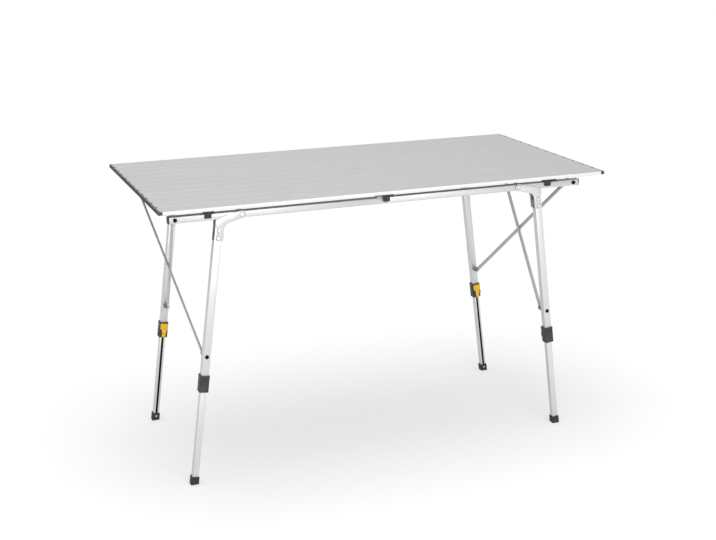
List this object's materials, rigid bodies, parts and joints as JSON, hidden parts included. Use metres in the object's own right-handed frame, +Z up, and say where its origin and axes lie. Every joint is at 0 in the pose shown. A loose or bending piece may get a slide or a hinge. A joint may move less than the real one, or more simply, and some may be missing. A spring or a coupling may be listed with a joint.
{
  "type": "folding camp table",
  "caption": "Folding camp table: roll-up slatted aluminium top on hinged rails, splayed telescoping legs with latch levers, and a scissor brace at each end.",
  "frame": {"origin": "on the floor under the middle of the top", "axes": "+X along the table's length, to the right seen from the front; +Y to the rear; +Z up"},
  "size_m": [1.208, 0.5994, 0.742],
  "materials": {
    "top": "satin anodised, black plastic end caps",
    "rail": "satin silver, black end plugs",
    "leg": "satin silver",
    "bracket": "satin silver",
    "brace": "satin grey",
    "black_plastic": "fine matt texture",
    "rubber": "matt",
    "yellow_plastic": "satin"
  },
  "bodies": {
    "leg_front_left": {"upper_leg_front_left": "leg", "knee_bracket_front_left": "bracket", "sleeve_front_left": "black_plastic"},
    "rail_front_left": {"rail_front_left": "rail", "middle_hinge_front": "bracket"},
    "lower_leg_front_left": {"lower_leg_front_left": "leg", "foot_front_left": "rubber"},
    "lever_front_left": {"lever_front_left": "yellow_plastic"},
    "leg_fork_front_left": {"leg_fork_front_left": "black_plastic"},
    "brace_front_left": {"brace_front_left": "brace"},
    "rail_fork_front_left": {"rail_fork_front_left": "black_plastic"},
    "leg_front_right": {"upper_leg_front_right": "leg", "knee_bracket_front_right": "bracket", "sleeve_front_right": "black_plastic"},
    "rail_front_right": {"rail_front_right": "rail"},
    "lower_leg_front_right": {"lower_leg_front_right": "leg", "foot_front_right": "rubber"},
    "lever_front_right": {"lever_front_right": "yellow_plastic"},
    "leg_fork_front_right": {"leg_fork_front_right": "black_plastic"},
    "brace_front_right": {"brace_front_right": "brace"},
    "rail_fork_front_right": {"rail_fork_front_right": "black_plastic"},
    "leg_rear_left": {"upper_leg_rear_left": "leg", "knee_bracket_rear_left": "bracket", "sleeve_rear_left": "black_plastic"},
    "rail_rear_left": {"rail_rear_left": "rail", "middle_hinge_rear": "bracket"},
    "lower_leg_rear_left": {"lower_leg_rear_left": "leg", "foot_rear_left": "rubber"},
    "lever_rear_left": {"lever_rear_left": "yellow_plastic"},
    "leg_fork_rear_left": {"leg_fork_rear_left": "black_plastic"},
    "brace_rear_left": {"brace_rear_left": "brace"},
    "rail_fork_rear_left": {"rail_fork_rear_left": "black_plastic"},
    "leg_rear_right": {"upper_leg_rear_right": "leg", "knee_bracket_rear_right": "bracket", "sleeve_rear_right": "black_plastic"},
    "rail_rear_right": {"rail_rear_right": "rail"},
    "lower_leg_rear_right": {"lower_leg_rear_right": "leg", "foot_rear_right": "rubber"},
    "lever_rear_right": {"lever_rear_right": "yellow_plastic"},
    "leg_fork_rear_right": {"leg_fork_rear_right": "black_plastic"},
    "brace_rear_right": {"brace_rear_right": "brace"},
    "rail_fork_rear_right": {"rail_fork_rear_right": "black_plastic"},
    "slat_01": {"slat_01": "top"},
    "slat_02": {"slat_02": "top", "clip_front_left": "black_plastic", "clip_front_middle": "black_plastic", "clip_front_right": "black_plastic"},
    "slat_03": {"slat_03": "top"},
    "slat_04": {"slat_04": "top"},
    "slat_05": {"slat_05": "top"},
    "slat_06": {"slat_06": "top"},
    "slat_07": {"slat_07": "top"},
    "slat_08": {"slat_08": "top"},
    "slat_09": {"slat_09": "top"},
    "slat_10": {"slat_10": "top"},
    "slat_11": {"slat_11": "top", "clip_rear_left": "black_plastic", "clip_rear_middle": "black_plastic", "clip_rear_right": "black_plastic"},
    "slat_12": {"slat_12": "top"}
  },
  "joints": [
    {"name": "frame_fold", "type": "hinge", "parent": "leg_front_left", "child": "rail_front_left", "pos_m": [-0.383, -0.2245, 0.702], "axis": [0, 1, 0], "range_deg": [0, 94]},
    {"name": "middle_hinge_front", "type": "hinge", "parent": "rail_front_left", "child": "rail_front_right", "pos_m": [0, -0.2245, 0.7145], "axis": [0, 1, 0], "range_deg": [-174.09, 0]},
    {"name": "knee_front_right", "type": "hinge", "parent": "rail_front_right", "child": "leg_front_right", "pos_m": [0.383, -0.2245, 0.702], "axis": [0, 1, 0], "range_deg": [0, 94.05]},
    {"name": "leg_fork_swivel_front_left", "type": "hinge", "parent": "leg_front_left", "child": "leg_fork_front_left", "pos_m": [-0.48528, -0.2, 0.343], "axis": [0, 1, 0], "range_deg": [0, 22.53]},
    {"name": "brace_tilt_front_left", "type": "hinge", "parent": "leg_fork_front_left", "child": "brace_front_left", "pos_m": [-0.48528, -0.2, 0.343], "axis": [0.9839, 0, 0.1788], "range_deg": [0, 41.49]},
    {"name": "rail_fork_tilt_rear_left", "type": "hinge", "parent": "brace_front_left", "child": "rail_fork_rear_left", "pos_m": [-0.5505, 0.2, 0.702], "axis": [-0.9839, 0, -0.1788], "range_deg": [0, 41.49]},
    {"name": "rear_rail_swivel", "type": "hinge", "parent": "rail_fork_rear_left", "child": "rail_rear_left", "pos_m": [-0.5505, 0.2245, 0.702], "axis": [0, 1, 0], "range_deg": [0, 71.51]},
    {"name": "knee_rear_left", "type": "hinge", "parent": "rail_rear_left", "child": "leg_rear_left", "pos_m": [-0.383, 0.2245, 0.702], "axis": [0, 1, 0], "range_deg": [-94.05, 0]},
    {"name": "middle_hinge_rear", "type": "hinge", "parent": "rail_rear_left", "child": "rail_rear_right", "pos_m": [0, 0.2245, 0.7145], "axis": [0, 1, 0], "range_deg": [-174.09, 0]},
    {"name": "knee_rear_right", "type": "hinge", "parent": "rail_rear_right", "child": "leg_rear_right", "pos_m": [0.383, 0.2245, 0.702], "axis": [0, 1, 0], "range_deg": [0, 94.05]},
    {"name": "leg_fork_swivel_rear_left", "type": "hinge", "parent": "leg_rear_left", "child": "leg_fork_rear_left", "pos_m": [-0.48528, 0.2, 0.343], "axis": [0, 1, 0], "range_deg": [0, 22.53]},
    {"name": "brace_tilt_rear_left", "type": "hinge", "parent": "leg_fork_rear_left", "child": "brace_rear_left", "pos_m": [-0.48528, 0.2, 0.343], "axis": [-0.9839, 0, -0.1788], "range_deg": [0, 41.49]},
    {"name": "rail_fork_tilt_front_left", "type": "hinge", "parent": "brace_rear_left", "child": "rail_fork_front_left", "pos_m": [-0.5505, -0.2, 0.702], "axis": [0.9839, 0, 0.1788], "range_deg": [0, 41.49]},
    {"name": "leg_fork_swivel_front_right", "type": "hinge", "parent": "leg_front_right", "child": "leg_fork_front_right", "pos_m": [0.48528, -0.2, 0.343], "axis": [0, -1, 0], "range_deg": [0, 22.53]},
    {"name": "brace_tilt_front_right", "type": "hinge", "parent": "leg_fork_front_right", "child": "brace_front_right", "pos_m": [0.48528, -0.2, 0.343], "axis": [0.9839, 0, -0.1788], "range_deg": [0, 41.49]},
    {"name": "rail_fork_tilt_rear_right", "type": "hinge", "parent": "brace_front_right", "child": "rail_fork_rear_right", "pos_m": [0.5505, 0.2, 0.702], "axis": [-0.9839, 0, 0.1788], "range_deg": [0, 41.49]},
    {"name": "leg_fork_swivel_rear_right", "type": "hinge", "parent": "leg_rear_right", "child": "leg_fork_rear_right", "pos_m": [0.48528, 0.2, 0.343], "axis": [0, -1, 0], "range_deg": [0, 22.53]},
    {"name": "brace_tilt_rear_right", "type": "hinge", "parent": "leg_fork_rear_right", "child": "brace_rear_right", "pos_m": [0.48528, 0.2, 0.343], "axis": [-0.9839, 0, 0.1788], "range_deg": [0, 41.49]},
    {"name": "rail_fork_tilt_front_right", "type": "hinge", "parent": "brace_rear_right", "child": "rail_fork_front_right", "pos_m": [0.5505, -0.2, 0.702], "axis": [0.9839, 0, -0.1788], "range_deg": [0, 41.49]},
    {"name": "leg_height_front_left", "type": "slide", "parent": "leg_front_left", "child": "lower_leg_front_left", "axis": [0.1288, 0, 0.9917], "range_m": [0, 0.22]},
    {"name": "lever_press_front_left", "type": "hinge", "parent": "leg_front_left", "child": "lever_front_left", "pos_m": [-0.49508, -0.2088, 0.26754], "axis": [-0.9917, 0, 0.1288], "range_deg": [0, 9], "stiffness_Nm_per_rad": 0.02, "springref_deg": -11.46},
    {"name": "leg_height_front_right", "type": "slide", "parent": "leg_front_right", "child": "lower_leg_front_right", "axis": [-0.1288, 0, 0.9917], "range_m": [0, 0.22]},
    {"name": "lever_press_front_right", "type": "hinge", "parent": "leg_front_right", "child": "lever_front_right", "pos_m": [0.49508, -0.2088, 0.26754], "axis": [-0.9917, 0, -0.1288], "range_deg": [0, 9], "stiffness_Nm_per_rad": 0.02, "springref_deg": -11.46},
    {"name": "leg_height_rear_left", "type": "slide", "parent": "leg_rear_left", "child": "lower_leg_rear_left", "axis": [0.1288, 0, 0.9917], "range_m": [0, 0.22]},
    {"name": "lever_press_rear_left", "type": "hinge", "parent": "leg_rear_left", "child": "lever_rear_left", "pos_m": [-0.49508, 0.2088, 0.26754], "axis": [0.9917, 0, -0.1288], "range_deg": [0, 9], "stiffness_Nm_per_rad": 0.02, "springref_deg": -11.46},
    {"name": "leg_height_rear_right", "type": "slide", "parent": "leg_rear_right", "child": "lower_leg_rear_right", "axis": [-0.1288, 0, 0.9917], "range_m": [0, 0.22]},
    {"name": "lever_press_rear_right", "type": "hinge", "parent": "leg_rear_right", "child": "lever_rear_right", "pos_m": [0.49508, 0.2088, 0.26754], "axis": [0.9917, 0, 0.1288], "range_deg": [0, 9], "stiffness_Nm_per_rad": 0.02, "springref_deg": -11.46},
    {"name": "top_lift", "type": "slide", "parent": "leg_front_left", "child": "slat_06", "axis": [0, -0.3551, 0.9348], "range_m": [0, 0.48162]},
    {"name": "roll_05_06", "type": "hinge", "parent": "slat_06", "child": "slat_05", "pos_m": [0, -0.05, 0.742], "axis": [-1, 0, 0], "range_deg": [0, 28.01]},
    {"name": "roll_04_05", "type": "hinge", "parent": "slat_05", "child": "slat_04", "pos_m": [0, -0.1, 0.742], "axis": [-1, 0, 0], "range_deg": [0, 28.01]},
    {"name": "roll_03_04", "type": "hinge", "parent": "slat_04", "child": "slat_03", "pos_m": [0, -0.15, 0.742], "axis": [-1, 0, 0], "range_deg": [0, 28.01]},
    {"name": "roll_02_03", "type": "hinge", "parent": "slat_03", "child": "slat_02", "pos_m": [0, -0.2, 0.742], "axis": [-1, 0, 0], "range_deg": [0, 28.01]},
    {"name": "roll_01_02", "type": "hinge", "parent": "slat_02", "child": "slat_01", "pos_m": [0, -0.25, 0.742], "axis": [-1, 0, 0], "range_deg": [0, 28.01]},
    {"name": "roll_06_07", "type": "hinge", "parent": "slat_06", "child": "slat_07", "pos_m": [0, 0, 0.742], "axis": [1, 0, 0], "range_deg": [0, 28.01]},
    {"name": "roll_07_08", "type": "hinge", "parent": "slat_07", "child": "slat_08", "pos_m": [0, 0.05, 0.742], "axis": [1, 0, 0], "range_deg": [0, 28.01]},
    {"name": "roll_08_09", "type": "hinge", "parent": "slat_08", "child": "slat_09", "pos_m": [0, 0.1, 0.742], "axis": [1, 0, 0], "range_deg": [0, 28.01]},
    {"name": "roll_09_10", "type": "hinge", "parent": "slat_09", "child": "slat_10", "pos_m": [0, 0.15, 0.742], "axis": [1, 0, 0], "range_deg": [0, 28.01]},
    {"name": "roll_10_11", "type": "hinge", "parent": "slat_10", "child": "slat_11", "pos_m": [0, 0.2, 0.742], "axis": [1, 0, 0], "range_deg": [0, 28.01]},
    {"name": "roll_11_12", "type": "hinge", "parent": "slat_11", "child": "slat_12", "pos_m": [0, 0.25, 0.742], "axis": [1, 0, 0], "range_deg": [0, 28.01]}
  ],
  "couplings": [
    {"joint": "middle_hinge_front", "follows": "frame_fold", "ratio": -1.8511},
    {"joint": "knee_front_right", "follows": "frame_fold", "ratio": 1},
    {"joint": "leg_fork_swivel_front_left", "follows": "frame_fold", "ratio": 0.2396},
    {"joint": "brace_tilt_front_left", "follows": "frame_fold", "ratio": 0.4412},
    {"joint": "rail_fork_tilt_rear_left", "follows": "frame_fold", "ratio": 0.4412},
    {"joint": "rear_rail_swivel", "follows": "frame_fold", "ratio": 0.7604},
    {"joint": "knee_rear_left", "follows": "frame_fold", "ratio": -1},
    {"joint": "middle_hinge_rear", "follows": "frame_fold", "ratio": -1.8511},
    {"joint": "knee_rear_right", "follows": "frame_fold", "ratio": 1},
    {"joint": "leg_fork_swivel_rear_left", "follows": "frame_fold", "ratio": 0.2396},
    {"joint": "brace_tilt_rear_left", "follows": "frame_fold", "ratio": 0.4412},
    {"joint": "rail_fork_tilt_front_left", "follows": "frame_fold", "ratio": 0.4412},
    {"joint": "leg_fork_swivel_front_right", "follows": "frame_fold", "ratio": 0.2396},
    {"joint": "brace_tilt_front_right", "follows": "frame_fold", "ratio": 0.4412},
    {"joint": "rail_fork_tilt_rear_right", "follows": "frame_fold", "ratio": 0.4412},
    {"joint": "leg_fork_swivel_rear_right", "follows": "frame_fold", "ratio": 0.2396},
    {"joint": "brace_tilt_rear_right", "follows": "frame_fold", "ratio": 0.4412},
    {"joint": "rail_fork_tilt_front_right", "follows": "frame_fold", "ratio": 0.4412},
    {"joint": "top_lift", "follows": "frame_fold", "m_per_rad": 0.29341},
    {"joint": "roll_05_06", "follows": "frame_fold", "ratio": 0.29787},
    {"joint": "roll_04_05", "follows": "frame_fold", "ratio": 0.29787},
    {"joint": "roll_03_04", "follows": "frame_fold", "ratio": 0.29787},
    {"joint": "roll_02_03", "follows": "frame_fold", "ratio": 0.29787},
    {"joint": "roll_01_02", "follows": "frame_fold", "ratio": 0.29787},
    {"joint": "roll_06_07", "follows": "frame_fold", "ratio": 0.29787},
    {"joint": "roll_07_08", "follows": "frame_fold", "ratio": 0.29787},
    {"joint": "roll_08_09", "follows": "frame_fold", "ratio": 0.29787},
    {"joint": "roll_09_10", "follows": "frame_fold", "ratio": 0.29787},
    {"joint": "roll_10_11", "follows": "frame_fold", "ratio": 0.29787},
    {"joint": "roll_11_12", "follows": "frame_fold", "ratio": 0.29787}
  ]
}
